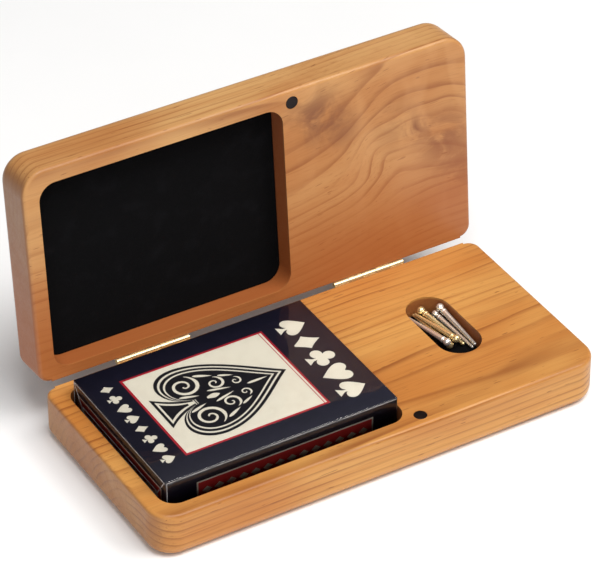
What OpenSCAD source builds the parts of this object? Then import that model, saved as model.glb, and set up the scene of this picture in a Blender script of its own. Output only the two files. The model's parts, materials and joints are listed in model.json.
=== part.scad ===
// Folding travel case in solid cherry: a card pocket on the left, a peg slot on the right.
// Millimetres. +X along the case, +Y towards the hinges, +Z up.
// Origin: centre of the base block's underside. The lid is drawn standing open on its stop.

/* [Case] */
// Length of the closed case, along X
case_l = 178.8; // [170:0.2:200]
// Width of the closed case, along Y
case_w = 84.2; // [82:0.2:100]
// Thickness of the base block
base_h = 18.2; // [17:0.1:24]
// Thickness of the lid block
lid_h = 18.7; // [15:0.1:24]
// Plan radius of the two front corners
front_r = 9.5; // [7:0.5:14]
// Plan radius of the two corners beside the hinges
hinge_side_r = 4.6; // [4.6:0.2:6]
// Round-over of the outer edges: base underside and lid outside
outer_round = 4.6; // [2:0.2:4.6]
// Round-over of the front and end edges where base and lid meet
mating_round = 1.5; // [0.4:0.1:1.6]
// Round-over of the two edges that meet at the hinges
hinge_edge_round = 0.3; // [0.2:0.1:0.5]
// Gap between the closed blocks
seam = 0.1; // [0.1:0.05:0.3]

/* [Card pocket] */
// Length of the pocket, along X
pocket_l = 96; // [94:0.5:98]
// Width of the pocket, along Y
pocket_w = 74; // [70:0.5:75]
// Wood between the pocket and the case's left side
left_wall = 6.2; // [5:0.2:9]
// Wood between the pocket and the hinge side
hinge_wall = 4.3; // [4:0.1:6]
// Corner radius of the pocket
pocket_r = 6.5; // [4:0.5:6.5]
// Depth of the base pocket, down to the felt
base_pocket_d = 12; // [10:0.5:13]
// Depth of the lid pocket, down to the felt
lid_pocket_d = 7.8; // [7:0.2:9]
// Thickness of the felt linings
felt_t = 1; // [0.6:0.1:1.2]

/* [Peg slot] */
// Length of the slot, along Y
slot_l = 36.4; // [36:0.2:44]
// Width of the slot
slot_w = 16.8; // [16.8:0.2:20]
// Centre of the slot, from the case's middle
slot_x = 51.7; // [45:0.1:56]
// Centre of the slot, from the case's middle line
slot_y = 2.9; // [-6:0.1:6]
// Depth of the slot, down to the felt
slot_d = 6.7; // [6.7:0.1:9]

/* [Magnet catch] */
// Diameter of each magnet
magnet_dia = 4.8; // [4:0.2:6]
// Thickness of each magnet
magnet_t = 3; // [2:0.5:4]
// Magnet centre, from the case's middle
magnet_x = 16.8; // [15:0.2:30]
// Magnet centre, from the front edge
magnet_inset = 5.2; // [5:0.1:8]

/* [Hinges] */
// Angle at which the lid stands on its stop
open_angle = 95; // [90:1:100]
// Length of each hinge
hinge_l = 29.4; // [24:0.2:32]
// Centre of each hinge, from the case's middle
hinge_x = 44.8; // [35:0.2:55]
// Outer diameter of the knuckles
knuckle_dia = 2.2; // [2.1:0.1:2.2]
// Diameter of the hinge pin
pin_dia = 1; // [0.9:0.02:1]
// Number of knuckles on each hinge
knuckles = 5; // [3:2:7]
// Distance from the wood's hinge side to the pin's axis
pin_offset = 1.16; // [1.16:0.02:1.3]
// Thickness of a leaf
leaf_t = 0.5; // [0.4:0.05:0.5]
// Height of each leaf, from the pin's axis
leaf_h = 8; // [7:0.5:9]
// Screws in each leaf
screws = 3; // [2:1:4]
// Diameter of a screw's shank
screw_dia = 1.2; // [1:0.1:1.4]
// Diameter of a screw's round head
screw_head_dia = 2.4; // [2:0.1:2.8]
// Length of a screw's shank below its head
screw_l = 3.4; // [3:0.1:3.6]

/* [Card deck] */
// Length of the wrapped deck
deck_l = 92; // [90:0.5:93]
// Width of the wrapped deck
deck_w = 66.2; // [64:0.1:67]
// Height of the wrapped deck
deck_h = 17.9; // [17:0.1:18.5]
// Deck centre, from the case's middle
deck_x = -34.8; // [-35.4:0.1:-34.8]
// Deck centre, from the case's middle line
deck_y = 2.1; // [1:0.1:2.1]
// Wall of the paper-board carton
carton_t = 0.5; // [0.4:0.05:0.8]
// Film thickness of the clear wrap
wrap_t = 0.1; // [0.06:0.02:0.14]

/* [Pegs] */
// Diameter of a peg's ball head
ball_dia = 3; // [2.6:0.1:3]
// Diameter of the collar behind the ball
collar_dia = 2.4; // [2:0.1:2.4]
// Diameter of the shaft beside the collar
shaft_dia = 2.1; // [1.8:0.1:2.1]
// Diameter of the shaft's rounded tip
tip_dia = 1.2; // [0.8:0.1:1.2]
// Length from the ball's centre to the tip's end
peg_l = 23; // [20:0.5:23]

/* [Hidden] */
$fn = 64;
eps = 0.01;
fit_gap = 0.05;
axis_y = case_w / 2 + pin_offset;
axis_z = base_h + seam / 2;
pocket_x = -case_l / 2 + left_wall + pocket_l / 2;
pocket_y = case_w / 2 - hinge_wall - pocket_w / 2;
magnet_y = -case_w / 2 + magnet_inset;
knuckle_l = hinge_l / knuckles;
knuckle_gap = 0.1;
leaf_gap = 0.02;
bore_clearance = 0.04;
stop_reach = 3.6;
stop_root = (pin_dia / 2 + bore_clearance + knuckle_dia / 2) / 2;
stop_play = 0.06;
screw_pitch = hinge_l * 0.35;
screw_drop = leaf_h * 0.62;
screw_play = 0.03;
deck_z = base_h - base_pocket_d + 0.1;

// Where each peg lies: head centre and a point towards its tip, each as
// x and y from the slot's centre, and depth below the top of the base block.
PEG_HEADS = [
    [-0.8, -5.4, 5.1], [4.8, 12.6, 5.1], [-2.6, -6.5, 2.5],
    [1.1, -6.8, 2.2], [0, 15, 3.25], [6.2, 12, 2.25]
];
PEG_AIMS = [
    [-1.8, 16.2, 5.95], [6.2, -10.2, 5.95], [-4.7, 15.5, 5.5],
    [-2.2, 16, 4.6], [4.1, -7.8, 5.5], [6.8, -10.2, 4.5]
];
PEG_COLORS = ["goldenrod", "silver", "silver", "goldenrod", "goldenrod", "silver"];

// ---- shared shapes ----

// Half cross-section of a block's rim, r mm wide: the outer face at x = r,
// rounded low down by outer_round and at the mating face by mate.
module rim_profile(r, h, mate) {
    intersection() {
        union() {
            square([r - outer_round + eps, outer_round + eps]);
            translate([r - outer_round, outer_round]) circle(outer_round);
            translate([0, outer_round]) square([r, h - outer_round - mate]);
            translate([r - mate, h - mate]) circle(mate);
            translate([0, h - mate - eps]) square([r - mate, mate + eps]);
        }
        square([r, h]);
    }
}

// A quarter turn of the rim about a corner's centre.
module rim_corner(x, y, r, h, turn, mate) {
    translate([x, y, 0]) rotate([0, 0, turn]) rotate_extrude(angle = 90) rim_profile(r, h, mate);
}

// A straight length of the rim from one point, facing the way the turn says.
module rim_run(x, y, length, r, h, turn, mate) {
    translate([x, y, 0]) rotate([0, 0, turn]) rotate([90, 0, 0])
        linear_extrude(length) rim_profile(r, h, mate);
}

// A solid block of the case, mating face up, with its outer edges rounded.
module block(h) {
    fx = case_l / 2 - front_r;
    fy = -case_w / 2 + front_r;
    hx = case_l / 2 - hinge_side_r;
    hy = case_w / 2 - hinge_side_r;
    rim_corner(hx, hy, hinge_side_r, h, 0, mating_round);
    rim_corner(-hx, hy, hinge_side_r, h, 90, mating_round);
    rim_corner(-fx, fy, front_r, h, 180, mating_round);
    rim_corner(fx, fy, front_r, h, 270, mating_round);
    rim_run(fx, hy, hy - fy, front_r, h, 0, mating_round);
    rim_run(-fx, fy, hy - fy, front_r, h, 180, mating_round);
    rim_run(-hx, hy, 2 * hx, hinge_side_r, h, 90, hinge_edge_round);
    rim_run(fx, fy, 2 * fx, front_r, h, 270, mating_round);
    translate([-fx, fy, 0]) cube([2 * fx, hy - fy, h]);
}

// A rectangle with round corners, centred.
module round_rect(l, w, r) {
    square([l - 2 * r, w], center = true);
    square([l, w - 2 * r], center = true);
    for (sx = [-1, 1], sy = [-1, 1]) {
        translate([sx * (l / 2 - r), sy * (w / 2 - r)]) circle(r);
    }
}

module pocket_plan(inset) {
    translate([pocket_x, pocket_y])
        round_rect(pocket_l - 2 * inset, pocket_w - 2 * inset, pocket_r - inset);
}

module slot_plan(inset) {
    w = slot_w - 2 * inset;
    travel = slot_l - slot_w;
    translate([slot_x, slot_y]) {
        square([w, travel], center = true);
        for (s = [-1, 1]) {
            translate([0, s * travel / 2]) circle(w / 2);
        }
    }
}

// Draws its children at every screw of both hinges' leaves, on the wood's hinge side
// with +Z into the wood: up is -1 for the leaves on the base and 1 for those on the lid.
module at_screws(up) {
    for (side = [-1, 1], i = [0 : screws - 1]) {
        translate([side * hinge_x + (i - (screws - 1) / 2) * screw_pitch,
                   case_w / 2, axis_z + up * screw_drop])
            rotate([90, 0, 0]) children();
    }
}

// Swings a piece drawn in its closed place to where the open lid holds it.
module opened() {
    translate([0, axis_y, axis_z]) rotate([-open_angle, 0, 0])
        translate([0, -axis_y, -axis_z]) children();
}

module pilot_hole() {
    translate([0, 0, -1]) cylinder(h = screw_l + 1, d = screw_dia + 2 * screw_play);
}

// ---- wood ----

module base_block() {
    color("peru") difference() {
        block(base_h);
        translate([0, 0, base_h - base_pocket_d - felt_t])
            linear_extrude(base_pocket_d + felt_t + 1) pocket_plan(0);
        translate([0, 0, base_h - slot_d - felt_t])
            linear_extrude(slot_d + felt_t + 1) slot_plan(0);
        translate([magnet_x, magnet_y, base_h - magnet_t - fit_gap])
            cylinder(h = magnet_t + 1, d = magnet_dia + 2 * fit_gap);
        at_screws(-1) pilot_hole();
    }
}

module lid_block() {
    mate_z = base_h + seam;
    color("peru") opened() difference() {
        translate([0, 0, mate_z + lid_h]) mirror([0, 0, 1]) block(lid_h);
        translate([0, 0, mate_z - 1])
            linear_extrude(lid_pocket_d + felt_t + 1) pocket_plan(0);
        translate([magnet_x, magnet_y, mate_z - 1])
            cylinder(h = magnet_t + 1 + fit_gap, d = magnet_dia + 2 * fit_gap);
        at_screws(1) pilot_hole();
    }
}

// ---- felt linings ----

module base_card_felt() {
    color([0.05, 0.05, 0.06]) translate([0, 0, base_h - base_pocket_d - felt_t])
        linear_extrude(felt_t) pocket_plan(fit_gap);
}

module lid_card_felt() {
    color([0.05, 0.05, 0.06]) opened() translate([0, 0, base_h + seam + lid_pocket_d])
        linear_extrude(felt_t) pocket_plan(fit_gap);
}

module peg_slot_felt() {
    color([0.05, 0.05, 0.06]) translate([0, 0, base_h - slot_d - felt_t])
        linear_extrude(felt_t) slot_plan(fit_gap);
}

// ---- magnet catch ----

module base_magnet() {
    color("dimgray") translate([magnet_x, magnet_y, base_h - magnet_t])
        cylinder(h = magnet_t, d = magnet_dia);
}

module lid_magnet() {
    color("dimgray") opened() translate([magnet_x, magnet_y, base_h + seam])
        cylinder(h = magnet_t, d = magnet_dia);
}

// ---- hinges ----

// A cylinder along +X about the pin's axis.
module barrel(x, length, dia) {
    translate([x, 0, 0]) rotate([0, 90, 0]) cylinder(h = length, d = dia);
}

// One leaf about the pin's axis (X), drawn hanging below it, against the wood's hinge side.
// first is 0 for the leaf with the outer knuckles and 1 for the leaf between them, which
// also carries the stops: fins that meet the other leaf's face when the lid stands open.
module leaf(first) {
    leaf_y = -pin_offset + leaf_gap;
    clear_top = -knuckle_dia / 2 - 0.15;
    difference() {
        union() {
            for (i = [first : 2 : knuckles - 1]) {
                x0 = -hinge_l / 2 + i * knuckle_l + knuckle_gap / 2;
                l = knuckle_l - knuckle_gap;
                barrel(x0, l, knuckle_dia);
                translate([x0, leaf_y, -leaf_h]) cube([l, leaf_t, leaf_h]);
                if (first == 1) rotate([-open_angle, 0, 0]) mirror([0, 0, 1])
                    translate([x0, leaf_y + leaf_t + stop_play, -stop_reach])
                        cube([l, leaf_t, stop_reach - stop_root]);
            }
            translate([-hinge_l / 2, leaf_y, -leaf_h]) cube([hinge_l, leaf_t, leaf_h + clear_top]);
        }
        barrel(-hinge_l, 2 * hinge_l, pin_dia + 2 * bore_clearance);
        for (i = [0 : screws - 1]) {
            translate([(i - (screws - 1) / 2) * screw_pitch, 0, -screw_drop]) rotate([90, 0, 0])
                cylinder(h = 2 * pin_offset, d = screw_dia + 2 * screw_play);
        }
    }
}

module base_leaf(side) {
    color("gold") translate([side * hinge_x, axis_y, axis_z]) leaf(0);
}

module lid_leaf(side) {
    color("gold") opened() translate([side * hinge_x, axis_y, axis_z]) mirror([0, 0, 1]) leaf(1);
}

module hinge_pin(side) {
    color("goldenrod") translate([side * hinge_x, axis_y, axis_z])
        barrel(-hinge_l / 2, hinge_l, pin_dia);
}

// A round-head wood screw, drawn with +Z into the wood: the head sits on the leaf.
module screw() {
    head_z = -leaf_gap - leaf_t - 0.01;
    head_t = 0.55;
    dome_r = screw_head_dia * 0.72;
    point_l = 0.4;
    point_dia = 0.4;
    drive_w = 0.3;
    drive_d = 0.25;
    difference() {
        translate([0, 0, head_z]) intersection() {
            translate([0, 0, dome_r - head_t]) sphere(dome_r);
            translate([0, 0, -1]) cylinder(h = 1, d = screw_head_dia);
        }
        translate([-screw_head_dia, -drive_w / 2, head_z - head_t - 1])
            cube([2 * screw_head_dia, drive_w, 1 + drive_d]);
    }
    translate([0, 0, head_z - eps]) cylinder(h = screw_l - point_l - head_z + 2 * eps, d = screw_dia);
    translate([0, 0, screw_l - point_l]) cylinder(h = point_l, d1 = screw_dia, d2 = point_dia);
}

module base_hinge_screws() {
    color("gold") at_screws(-1) screw();
}

module lid_hinge_screws() {
    color("gold") opened() at_screws(1) screw();
}

// ---- card deck ----

// A closed box of the deck's shape, shrunk by the same amount all round.
module deck_box(inset) {
    translate([deck_x - deck_l / 2 + inset, deck_y - deck_w / 2 + inset, deck_z + inset])
        cube([deck_l - 2 * inset, deck_w - 2 * inset, deck_h - 2 * inset]);
}

module cellophane_wrap() {
    color([0.85, 0.9, 0.95, 0.4]) difference() {
        deck_box(0);
        deck_box(wrap_t);
    }
}

module card_carton() {
    color("midnightblue") difference() {
        deck_box(wrap_t + fit_gap);
        deck_box(wrap_t + fit_gap + carton_t);
    }
}

module card_stack() {
    color("white") deck_box(wrap_t + fit_gap + carton_t + 0.3);
}

// ---- pegs ----

// A peg along +Z: ball head at the origin, groove, collar, tapered shaft, round tip.
module peg() {
    collar_z = 1.9;
    collar_t = 0.9;
    tip_z = peg_l - tip_dia / 2;
    sphere(d = ball_dia);
    cylinder(h = collar_z + eps, d = shaft_dia * 0.8);
    translate([0, 0, collar_z]) cylinder(h = collar_t, d = collar_dia);
    translate([0, 0, collar_z + collar_t - eps])
        cylinder(h = tip_z - collar_z - collar_t + eps, d1 = shaft_dia, d2 = tip_dia);
    translate([0, 0, tip_z]) sphere(d = tip_dia);
}

// The place of one end of a peg, from its slot coordinates and its depth.
function in_slot(p) = [slot_x + p[0], slot_y + p[1], base_h - p[2]];

module placed_peg(i) {
    head = in_slot(PEG_HEADS[i]);
    run = in_slot(PEG_AIMS[i]) - head;
    color(PEG_COLORS[i]) translate(head)
        rotate([0, acos(run[2] / norm(run)), atan2(run[1], run[0])]) peg();
}

base_block();
lid_block();
base_card_felt();
lid_card_felt();
peg_slot_felt();
base_magnet();
lid_magnet();
base_leaf(-1);  // left_hinge_base_leaf
lid_leaf(-1);  // left_hinge_lid_leaf
hinge_pin(-1);  // left_hinge_pin
base_leaf(1);  // right_hinge_base_leaf
lid_leaf(1);  // right_hinge_lid_leaf
hinge_pin(1);  // right_hinge_pin
base_hinge_screws();
lid_hinge_screws();
card_carton();
card_stack();
cellophane_wrap();
placed_peg(0);  // peg_1
placed_peg(1);  // peg_2
placed_peg(2);  // peg_3
placed_peg(3);  // peg_4
placed_peg(4);  // peg_5
placed_peg(5);  // peg_6
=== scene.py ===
"""Looks of a folding cherry card and peg case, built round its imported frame.

The case stands open. A film-wrapped deck lies in the felt-lined pocket of the base, and six
turned pegs lie in the slot beside it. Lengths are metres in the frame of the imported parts.
"""
import json
import logging
import math
from dataclasses import dataclass
from enum import Enum
from typing import Optional, Union

import bpy
import numpy as np
from mathutils import Matrix, Vector


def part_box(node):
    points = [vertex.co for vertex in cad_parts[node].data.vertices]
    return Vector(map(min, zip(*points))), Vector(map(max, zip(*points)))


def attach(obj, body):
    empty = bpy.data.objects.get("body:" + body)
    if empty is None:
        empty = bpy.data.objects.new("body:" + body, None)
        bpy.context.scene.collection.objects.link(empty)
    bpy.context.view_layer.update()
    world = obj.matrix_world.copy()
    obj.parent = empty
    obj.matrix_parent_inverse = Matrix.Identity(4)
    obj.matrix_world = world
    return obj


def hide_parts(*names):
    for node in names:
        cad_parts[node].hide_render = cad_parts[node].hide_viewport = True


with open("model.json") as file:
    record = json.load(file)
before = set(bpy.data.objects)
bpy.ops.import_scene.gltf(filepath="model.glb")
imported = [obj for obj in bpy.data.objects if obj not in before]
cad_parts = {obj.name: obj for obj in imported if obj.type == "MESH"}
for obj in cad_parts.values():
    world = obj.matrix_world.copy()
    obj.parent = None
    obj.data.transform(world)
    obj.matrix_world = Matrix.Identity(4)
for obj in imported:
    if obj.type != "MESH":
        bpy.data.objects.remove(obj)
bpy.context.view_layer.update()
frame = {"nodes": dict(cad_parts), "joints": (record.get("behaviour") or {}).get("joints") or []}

LOG = logging.getLogger("card_case")
MM = 0.001

Array = np.ndarray
Colour = tuple[float, float, float]
Material = bpy.types.Material
Piece = bpy.types.Object
Socket = bpy.types.NodeSocket
Value = Union[float, tuple, Socket]


# ---------------- mesh makers


def new_piece(name: str, points: Array, faces: list, smooth: bool = True) -> Piece:
    """Makes an object at the origin from points and faces.

    Args:
        name: the object's and the mesh's name.
        points: N x 3 places in metres.
        faces: corner indices of each face, counter-clockwise seen from outside.
        smooth: True to shade the faces smooth.

    Returns:
        The new object, linked to the scene.
    """
    mesh = bpy.data.meshes.new(name)
    mesh.from_pydata(np.asarray(points, float).tolist(), [], faces)
    mesh.polygons.foreach_set("use_smooth", np.full(len(mesh.polygons), smooth))
    mesh.validate()
    mesh.update()
    piece = bpy.data.objects.new(name, mesh)
    bpy.context.scene.collection.objects.link(piece)
    return piece


def grid_faces(rows: int, columns: int, wrap: bool) -> Array:
    """Corner indices of the quads of a grid whose points run column by column in each row.

    Args:
        rows: number of rows of points.
        columns: number of points in a row.
        wrap: True if a row's last point joins its first.

    Returns:
        One row of four indices per quad.
    """
    across = columns if wrap else columns - 1
    r, c = np.meshgrid(np.arange(rows - 1), np.arange(across), indexing="ij")
    here = (r * columns + c).ravel()
    beside = (r * columns + (c + 1) % columns).ravel()
    return np.stack([here, beside, beside + columns, here + columns], axis=1)


def ring_faces(*columns: Union[Array, int]) -> list:
    """One face per row, from a column of indices for each corner; a number stands for a column."""
    return np.stack(np.broadcast_arrays(*columns), axis=1).tolist()


def lathe(profile: Array, sides: int) -> tuple[Array, list]:
    """A profile turned about Z: x = r cos a, y = r sin a, z = z, for a round the circle.

    Args:
        profile: N x 2 radii and heights, from the lower pole to the upper one. The first and
            last radius are 0 and become one point each.
        sides: points round the circle.

    Returns:
        The points and the faces of the closed surface.
    """
    a = np.linspace(0, 2 * np.pi, sides, endpoint=False)
    r, z = profile[1:-1, 0], profile[1:-1, 1]
    ring = np.stack([np.outer(r, np.cos(a)), np.outer(r, np.sin(a)),
                     np.repeat(z[:, None], sides, axis=1)], axis=2).reshape(-1, 3)
    points = np.vstack([ring, [[0, 0, profile[0, 1]], [0, 0, profile[-1, 1]]]])
    first = np.arange(sides)
    after = (first + 1) % sides
    last = (len(r) - 1) * sides
    faces = grid_faces(len(r), sides, wrap=True).tolist()
    faces += ring_faces(after, first, len(ring))
    faces += ring_faces(last + first, last + after, len(ring) + 1)
    return points, faces


def arc(centre: tuple[float, float], radius: float, start: float, end: float, steps: int) -> Array:
    """Points along a circle: centre + radius (cos a, sin a), for a from start to end in degrees."""
    a = np.radians(np.linspace(start, end, steps))
    return np.stack([centre[0] + radius * np.cos(a), centre[1] + radius * np.sin(a)], axis=1)


def bezier(points: list, steps: int) -> Array:
    """A cubic Bezier curve without its last point.

    Args:
        points: start, two handles and end.
        steps: number of points on the curve.

    Returns:
        steps x 2 points: the sum of each control point times its Bernstein weight.
    """
    t = np.linspace(0, 1, steps, endpoint=False)[:, None]
    p = np.asarray(points, float)
    return ((1 - t) ** 3 * p[0] + 3 * (1 - t) ** 2 * t * p[1]
            + 3 * (1 - t) * t ** 2 * p[2] + t ** 3 * p[3])


def round_rectangle(length: float, width: float, radius: float, steps: int) -> Array:
    """Outline of a rectangle with round corners, counter-clockwise about the origin."""
    x, y = length / 2 - radius, width / 2 - radius
    corners = ((x, y, 0), (-x, y, 90), (-x, -y, 180), (x, -y, 270))
    return np.vstack([arc((cx, cy), radius, a, a + 90, steps) for cx, cy, a in corners])


def area_sign(outline: Array) -> float:
    """Positive for an outline that runs counter-clockwise: half the sum of its cross products."""
    ahead = np.roll(outline, -1, axis=0)
    return float(np.sum(outline[:, 0] * ahead[:, 1] - ahead[:, 0] * outline[:, 1]) / 2)


def slab(outline: Array, low: float, high: float) -> tuple[Array, list]:
    """A flat closed plate: an outline swept straight up from low to high.

    Args:
        outline: N x 2 points of a simple polygon, either way round.
        low: height of the underside.
        high: height of the top.

    Returns:
        The points and the faces, facing outwards.
    """
    if area_sign(outline) < 0:
        outline = outline[::-1]
    n = len(outline)
    points = np.vstack([np.column_stack([outline, np.full(n, low)]),
                        np.column_stack([outline, np.full(n, high)])])
    faces = grid_faces(2, n, wrap=True).tolist()
    return points, faces + [list(range(n - 1, -1, -1)), list(range(n, 2 * n))]


def joined(parts: list) -> tuple[Array, list]:
    """Several point and face lists as one."""
    points, faces, base = [], [], 0
    for part_points, part_faces in parts:
        points.append(part_points)
        faces += [[index + base for index in face] for face in part_faces]
        base += len(part_points)
    return np.vstack(points), faces


def place(points: Array, matrix: Matrix) -> Array:
    """The points after a 4 x 4 matrix."""
    m = np.array(matrix)
    return points @ m[:3, :3].T + m[:3, 3]


def mesh_points(mesh: bpy.types.Mesh) -> Array:
    """The N x 3 places of a mesh's vertices."""
    flat = np.empty(len(mesh.vertices) * 3, np.float32)
    mesh.vertices.foreach_get("co", flat)
    return flat.reshape(-1, 3).astype(float)


def node_points(node: str) -> Array:
    """The N x 3 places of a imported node's vertices."""
    return mesh_points(frame["nodes"][node].data)


def main_axes(points: Array) -> tuple[Array, Array]:
    """The points' middle, and their three principal directions, longest first."""
    middle = points.mean(axis=0)
    _, _, axes = np.linalg.svd(points - middle, full_matrices=False)
    return middle, axes


def standing(foot: Vector, up: Vector) -> Matrix:
    """The matrix that takes the origin to a foot point and Z to a direction."""
    return Matrix.Translation(foot) @ up.to_track_quat("Z", "Y").to_matrix().to_4x4()


def outward(piece: Piece) -> Piece:
    """Turns a closed mesh's faces outwards: a negative signed volume means it is inside out.

    Six times the volume is the sum of a . (b x c) over the triangles a, b, c.
    """
    mesh = piece.data
    mesh.calc_loop_triangles()
    corners = np.empty(len(mesh.loop_triangles) * 3, np.int32)
    mesh.loop_triangles.foreach_get("vertices", corners)
    a, b, c = np.moveaxis(mesh_points(mesh)[corners.reshape(-1, 3)], 1, 0)
    if np.einsum("ij,ij->i", a, np.cross(b, c)).sum() < 0:
        mesh.flip_normals()
    return piece


def paint_node(node: str, material: Material) -> None:
    """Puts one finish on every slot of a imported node."""
    piece = frame["nodes"][node]
    piece.data.materials.clear()
    piece.data.materials.append(material)
    LOG.info("%s: dressed in %s", node, material.name)


def finish_piece(piece: Piece, body: str, material: Material,
                 replaces: tuple = ()) -> Piece:
    """Dresses a piece, makes it ride on a body and reports it.

    Args:
        piece: the new object.
        body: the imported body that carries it.
        material: its finish.
        replaces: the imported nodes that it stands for.

    Returns:
        The piece.
    """
    piece.data.materials.clear()
    piece.data.materials.append(material)
    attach(piece, body)
    if replaces:
        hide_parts(*replaces)
    LOG.info("%s: %d faces on %s", piece.name, len(piece.data.polygons), body)
    return piece


# ---------------- shader graph


class Graph:
    """A material's node graph, built by calls that return sockets."""

    def __init__(self, name: str) -> None:
        """Starts an empty material of that name."""
        self.material = bpy.data.materials.new(name)
        self.material.use_nodes = True
        self.tree = self.material.node_tree
        self.tree.nodes.clear()
        self.output = self.tree.nodes.new("ShaderNodeOutputMaterial")

    def node(self, kind: str, inputs: dict, **settings: object) -> bpy.types.Node:
        """Adds a node.

        Args:
            kind: the node's type name.
            inputs: sockets or values for its inputs, by name or number.
            settings: the node's own properties.

        Returns:
            The node.
        """
        made = self.tree.nodes.new(kind)
        for key, value in settings.items():
            setattr(made, key, value)
        for key, value in inputs.items():
            if isinstance(value, Socket):
                self.tree.links.new(value, made.inputs[key])
            else:
                made.inputs[key].default_value = value
        return made

    def place(self) -> Socket:
        """The point's place in the object's own frame, in metres."""
        return self.node("ShaderNodeTexCoord", {}).outputs["Object"]

    def facing(self) -> Socket:
        """The surface's direction in the object's own frame."""
        return self.node("ShaderNodeTexCoord", {}).outputs["Normal"]

    def mapped(self, vector: Socket, move: tuple = (0, 0, 0), turn: tuple = (0, 0, 0),
               scale: tuple = (1, 1, 1)) -> Socket:
        """The vector scaled, then turned in radians, then moved."""
        return self.node("ShaderNodeMapping", {"Vector": vector, "Location": move,
                                               "Rotation": turn, "Scale": scale}).outputs[0]

    def noise(self, vector: Socket, scale: float, detail: float = 2.0, rough: float = 0.5,
              bend: float = 0.0) -> Socket:
        """Smooth noise from 0 to 1."""
        return self.node("ShaderNodeTexNoise", {"Vector": vector, "Scale": scale,
                                                "Detail": detail, "Roughness": rough,
                                                "Distortion": bend}).outputs["Fac"]

    def grain(self, vector: Socket, scale: tuple, detail: float = 2.0, rough: float = 0.5,
              bend: float = 0.0, **placed: tuple) -> Socket:
        """Smooth noise from 0 to 1, with its own number of cells in a metre each way."""
        return self.noise(self.mapped(vector, scale=scale, **placed), 1.0, detail, rough, bend)

    def sway(self, vector: Socket, scale: tuple, detail: float, reach: float) -> Socket:
        """Noise about zero: (noise - 0.5) times reach."""
        return self.times(self.calc("SUBTRACT", self.grain(vector, scale, detail), 0.5), reach)

    def calc(self, operation: str, a: Value, b: Value = 0.0) -> Socket:
        """One arithmetic step."""
        return self.node("ShaderNodeMath", {0: a, 1: b}, operation=operation).outputs[0]

    def times(self, a: Value, b: Value) -> Socket:
        """The product of two numbers."""
        return self.calc("MULTIPLY", a, b)

    def plus(self, a: Value, b: Value) -> Socket:
        """The sum of two numbers."""
        return self.calc("ADD", a, b)

    def vector(self, operation: str, a: Value, b: Value = (0, 0, 0)) -> Socket:
        """One vector step; a length comes out as a number."""
        made = self.node("ShaderNodeVectorMath", {0: a, 1: b}, operation=operation)
        return made.outputs["Value" if operation in ("LENGTH", "DOT_PRODUCT") else "Vector"]

    def split(self, vector: Socket) -> tuple:
        """The three parts of a vector."""
        return tuple(self.node("ShaderNodeSeparateXYZ", {0: vector}).outputs)

    def merge(self, x: Value, y: Value, z: Value) -> Socket:
        """A vector from its three parts."""
        return self.node("ShaderNodeCombineXYZ", {0: x, 1: y, 2: z}).outputs[0]

    def span(self, value: Value, low: float, high: float, to_low: float = 0.0,
             to_high: float = 1.0) -> Socket:
        """The value's place between low and high, smoothed at both ends."""
        return self.node("ShaderNodeMapRange", {0: value, 1: low, 2: high, 3: to_low, 4: to_high},
                         interpolation_type="SMOOTHSTEP").outputs[0]

    def mix(self, share: Value, a: Value, b: Value) -> Socket:
        """Two colours mixed by share."""
        made = self.tree.nodes.new("ShaderNodeMix")
        made.data_type = "RGBA"
        for index, value in ((0, share), (6, a), (7, b)):
            if isinstance(value, Socket):
                self.tree.links.new(value, made.inputs[index])
            else:
                made.inputs[index].default_value = (*value[:3], 1.0) if index else value
        return made.outputs[2]

    def tint(self, tone: Value, colour: Colour, share: float, where: Value, low: float,
             high: float) -> Socket:
        """The tone with up to a share of a colour, as where runs from low to high."""
        return self.mix(self.times(self.span(where, low, high), share), tone, colour)

    def bump(self, height: Socket, strength: float, distance: float) -> Socket:
        """A surface direction disturbed by a height."""
        return self.node("ShaderNodeBump", {"Height": height, "Strength": strength,
                                            "Distance": distance}).outputs[0]

    def coat(self, colour: Value, roughness: Value, normal: Optional[Socket] = None,
             **constants: float) -> Material:
        """Ends the graph in one Principled shader.

        Args:
            colour: base colour.
            roughness: roughness.
            normal: disturbed surface direction, if any.
            constants: other inputs by name, with underscores for spaces.

        Returns:
            The finished material.
        """
        inputs = {"Base Color": colour if isinstance(colour, Socket) else (*colour, 1.0),
                  "Roughness": roughness}
        if normal is not None:
            inputs["Normal"] = normal
        inputs.update({key.replace("_", " "): value for key, value in constants.items()})
        shader = self.node("ShaderNodeBsdfPrincipled", inputs)
        self.tree.links.new(shader.outputs[0], self.output.inputs[0])
        return self.material


# ---------------- finishes


class Figure(Enum):
    """How the grain of a board runs."""

    PLAIN = "plain"
    CURLY = "curly"


@dataclass(frozen=True)
class Stain:
    """A dark stain or knot: its place on the board, how far it reaches and how dark it is."""

    x: float
    y: float
    reach: float
    depth: float


STAINS = (Stain(0.026, -0.028, 0.017, 0.85), Stain(0.036, -0.020, 0.012, 0.60),
          Stain(0.066, -0.010, 0.007, 1.00), Stain(0.079, -0.002, 0.019, 0.80),
          Stain(0.086, 0.012, 0.015, 0.75), Stain(0.060, -0.014, 0.016, 0.35))


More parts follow.
